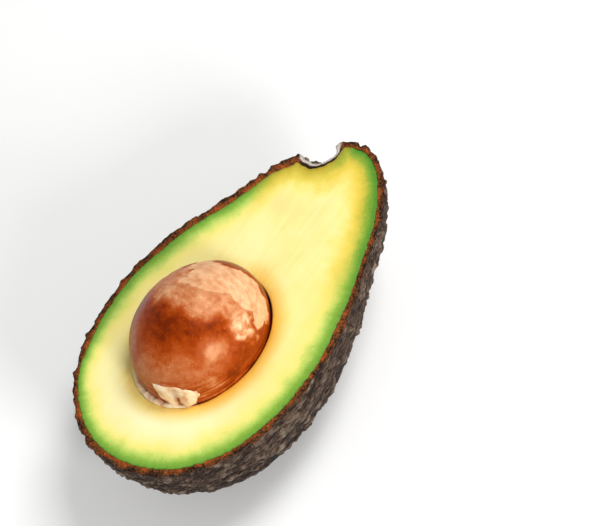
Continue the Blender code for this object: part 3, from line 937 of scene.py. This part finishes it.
# A scrap of the coat is still stuck to the stone at the cup's edge: dry, crumpled, torn all round.
SCRAP_ACROSS, SCRAP_UP = 44, 30
# Its corners on the stone: degrees round it from the fruit's right, and millimetres above its middle.
LOW_LEFT, LOW_RIGHT, HIGH_LEFT, HIGH_RIGHT = (-76, -3.4), (-50, -3.2), (-85, 5.2), (-30, 0.2)
TOP_BULGE, SCRAP_THICKNESS = 1.5, 0.16 * MM
SIDE_TEAR, TOP_TEAR, TEAR_SIZE = 0.05, 0.12, 0.30
STAND_OFF, CRUMPLE, CRUMPLE_SIZE = 0.14, 0.22, 2.4 * MM
# Each fold's middle and reach as shares of the scrap's width, and its height in millimetres.
FOLDS = [(0.20, 0.11, 0.6), (0.62, 0.13, 1.1)]
# The crease's painted shade: its middle and reach as shares of the width, and the share of brown everywhere
# that tints the scrap.
CREASE_MIDDLE, CREASE_REACH, TINT_EVERYWHERE = 0.40, 0.08, 0.12
side, up = np.meshgrid(np.linspace(0, 1, SCRAP_ACROSS), np.linspace(0, 1, SCRAP_UP), indexing="ij")
tear = rough(np.stack([side, up, 0 * side], axis=-1), TEAR_SIZE, seed=6.6)
torn_side = side + SIDE_TEAR * tear * np.abs(2 * side - 1) ** 3
torn_up = up + TOP_TEAR * tear * up ** 4
corners = [np.array(corner, float) for corner in (LOW_LEFT, LOW_RIGHT, HIGH_LEFT, HIGH_RIGHT)]
low = corners[0] + (corners[1] - corners[0]) * torn_side[..., None]
high = corners[2] + (corners[3] - corners[2]) * torn_side[..., None]
high[..., 1] += TOP_BULGE * np.sin(math.pi * side)
spot = low + (high - low) * torn_up[..., None]
around, tall = np.radians(spot[..., 0]), spot[..., 1] * MM
slim = np.sqrt(1 - (tall / STONE_HALF[2]) ** 2)
scrap_points = np.stack([
    STONE_HALF[0] * slim * np.cos(around), STONE_HALF[1] * slim * np.sin(around), tall,
], axis=-1)
away = scrap_points / np.linalg.norm(scrap_points, axis=-1, keepdims=True)
# Two folds stand up from the low edge with a crease between them.
folds = sum(tall_by * np.exp(-(((side - middle) / reach) ** 2)) for middle, reach, tall_by in FOLDS)
crumples = np.abs(rough(scrap_points, CRUMPLE_SIZE, seed=12.5))
lift = STAND_OFF + folds * (1 - up) ** 0.8 + CRUMPLE * crumples
# Painted shade in the crease between the folds, strongest at the low edge, over a light tint everywhere.
in_crease = np.exp(-(((side - CREASE_MIDDLE) / CREASE_REACH) ** 2)) * (1 - up) ** 0.5
crease = TINT_EVERYWHERE + (1 - TINT_EVERYWHERE) * in_crease
scrap_points = scrap_points + away * (MM * lift)[..., None] + STONE_CENTRE
scrap_faces = ring_faces(SCRAP_ACROSS, SCRAP_UP, closed=False)
scrap_mesh = bpy.data.meshes.new("coat_scrap")
scrap_mesh.from_pydata(scrap_points.reshape(-1, 3).tolist(), [], scrap_faces.tolist())
store(scrap_mesh, crease=crease.ravel())
bm = bmesh.new()
bm.from_mesh(scrap_mesh)
for face_of in bm.faces:
    face_of.normal_update()
    if face_of.normal.dot(face_of.calc_center_median() - Vector(STONE_CENTRE)) < 0:
        face_of.normal_flip()
bm.to_mesh(scrap_mesh)
bm.free()
scrap_mesh.shade_smooth()
scrap = in_scene("coat_scrap", scrap_mesh)
paper_thick = scrap.modifiers.new("paper_thickness", "SOLIDIFY")
paper_thick.thickness = SCRAP_THICKNESS
paper_thick.offset = 0.0
scrap.data.materials.append(paper)
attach(scrap, "root")

# ---------------------------------------------------------------- studio
# A white table under soft light: a wide overhead panel towards the stem end, a smaller one at the right.

FLOOR_SIZE = 6.0
floor_mesh = bpy.data.meshes.new("table_top")
bm = bmesh.new()
bmesh.ops.create_grid(bm, x_segments=1, y_segments=1, size=FLOOR_SIZE / 2)
bm.to_mesh(floor_mesh)
bm.free()
floor = in_scene("table_top", floor_mesh)
white, tree, shader = new_material("matt_white_table", {
    "Base Color": linear("#fcfcfb"), "Roughness": 0.9,
    "Emission Color": linear("#ffffff"), "Emission Strength": 0.03,
})
floor.data.materials.append(white)

# The camera looks down on the cut face from the right and a little from the blossom end, rolled so that
# the fruit lies aslant with its stem end at the upper right.
CAMERA_ELEVATION, CAMERA_AZIMUTH = math.radians(51.7), math.radians(-23.6)
FRUIT_SLANT = math.radians(52.1)
CAMERA_DISTANCE, CAMERA_LENS = 0.8, 192.0
AIM_RIGHT, AIM_UP = 15.57 * MM, 9.35 * MM
outwards = Vector((
    math.cos(CAMERA_ELEVATION) * math.cos(CAMERA_AZIMUTH),
    math.cos(CAMERA_ELEVATION) * math.sin(CAMERA_AZIMUTH),
    math.sin(CAMERA_ELEVATION),
))
level = Vector((0, 1, 0)).cross(outwards).normalized()
upright = outwards.cross(level)
roll = FRUIT_SLANT - math.pi / 2
view_right = level * math.cos(roll) - upright * math.sin(roll)
view_up = level * math.sin(roll) + upright * math.cos(roll)
face_centre = Vector((0, 0, CUT_HEIGHT))
camera_data = bpy.data.cameras.new("camera")
camera_data.lens = CAMERA_LENS
camera_data.sensor_width = 36.0
camera_data.clip_start, camera_data.clip_end = 0.05, 50.0
camera = in_scene("camera", camera_data)
where = face_centre + outwards * CAMERA_DISTANCE
aim = face_centre + view_right * AIM_RIGHT + view_up * AIM_UP
back_axis = (where - aim).normalized()
right_axis = (view_right - back_axis * view_right.dot(back_axis)).normalized()
up_axis = back_axis.cross(right_axis)
camera_turn = Matrix((right_axis, up_axis, back_axis)).transposed().to_4x4()
camera.matrix_world = Matrix.Translation(where) @ camera_turn
bpy.context.scene.camera = camera


def panel(name, direction, distance, size, power):
    """A square soft light that faces the fruit."""
    data = bpy.data.lights.new(name, "AREA")
    data.size = size
    data.energy = power
    lamp = in_scene(name, data)
    way = Vector(direction).normalized()
    lamp.location = face_centre + way * distance
    lamp.rotation_euler = way.to_track_quat("Z", "Y").to_euler()


panel("overhead_panel", (0.30, 0.45, 0.84), distance=1.2, size=0.45, power=8.5)
panel("right_panel", (0.90, -0.20, 0.40), distance=1.0, size=0.26, power=6.0)
# The room's walls are brighter than its ceiling.
world = bpy.data.worlds.new("white_room")
world.use_nodes = True
room_tree = world.node_tree
facing = add(room_tree, "ShaderNodeTexCoord").outputs["Generated"]
facing = add(room_tree, "ShaderNodeSeparateXYZ", {"Vector": facing})
brightness = add(room_tree, "ShaderNodeMapRange", {
    "Value": facing.outputs["Z"], "From Min": 0.0, "From Max": 0.8, "To Min": 0.64, "To Max": 0.34,
})
background = room_tree.nodes["Background"]
background.inputs["Color"].default_value = (1, 1, 1, 1)
room_tree.links.new(brightness.outputs["Result"], background.inputs["Strength"])
bpy.context.scene.world = world
bpy.context.scene.view_settings.view_transform = "Standard"
